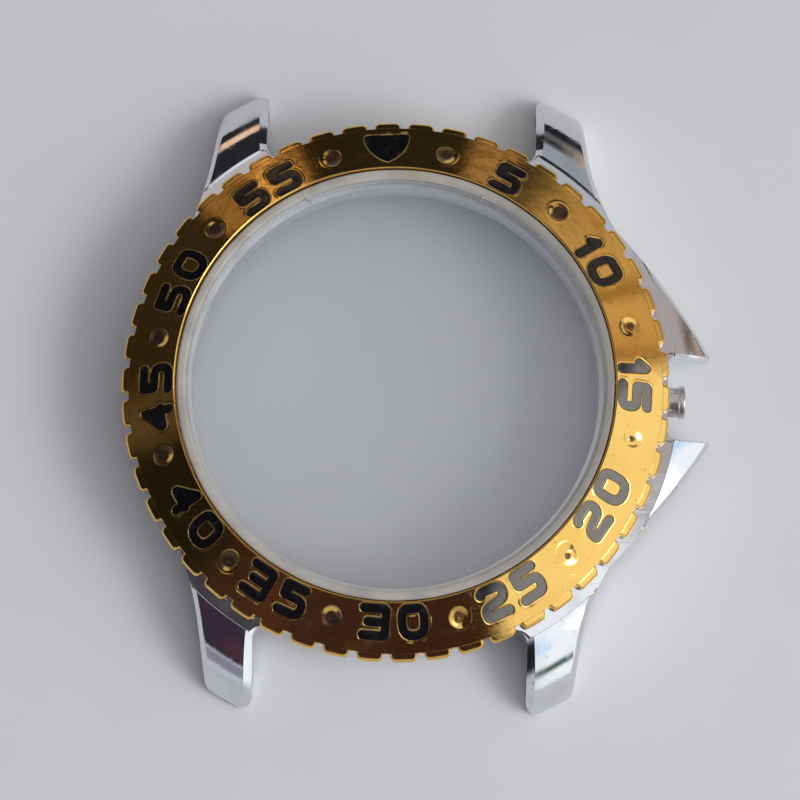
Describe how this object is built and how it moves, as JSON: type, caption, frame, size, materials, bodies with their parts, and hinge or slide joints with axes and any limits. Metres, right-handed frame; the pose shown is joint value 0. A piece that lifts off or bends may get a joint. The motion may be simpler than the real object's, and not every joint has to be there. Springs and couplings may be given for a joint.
{
  "type": "watch case",
  "caption": "Empty round wrist watch case with glass, a gilt timing bezel that turns, strap lugs, crown guards and a crown tube; open at the back.",
  "frame": {"origin": "on the case axis, in the plane of the back rim, where a case back closes the case", "axes": "+Z along the case axis, out through the glass; +Y towards twelve o'clock; +X towards the crown tube at three o'clock"},
  "size_m": [0.0432, 0.046, 0.0083],
  "materials": {
    "plated_case": "bright plated and polished, worn and lightly scratched at the edges",
    "gilt_bezel": "bright gilt, brushed round the axis, worn and darkened in places",
    "black_enamel": "glossy black enamel, sunk in the bezel",
    "crystal": "clear flat mineral glass with a bevelled edge",
    "gasket": "white plastic gone slightly yellow",
    "tube_steel": "turned and dulled steel",
    "spring_steel": "rolled spring steel",
    "seal_rubber": "black rubber"
  },
  "bodies": {
    "case": {"case_middle": "plated_case", "crystal": "crystal", "crystal_gasket": "gasket", "crown_tube": "tube_steel", "click_spring": "spring_steel", "retaining_wire": "spring_steel", "bezel_seal": "seal_rubber"},
    "bezel": {"bezel": "gilt_bezel", "enamel_triangle": "black_enamel", "enamel_05": "black_enamel", "enamel_10": "black_enamel", "enamel_15": "black_enamel", "enamel_20": "black_enamel", "enamel_25": "black_enamel", "enamel_30": "black_enamel", "enamel_35": "black_enamel", "enamel_40": "black_enamel", "enamel_45": "black_enamel", "enamel_50": "black_enamel", "enamel_55": "black_enamel"}
  },
  "joints": [
    {"name": "bezel_turn", "type": "hinge", "parent": "case", "child": "bezel", "pos_m": [0, 0, 0], "axis": [0, 0, 1], "continuous": true}
  ]
}
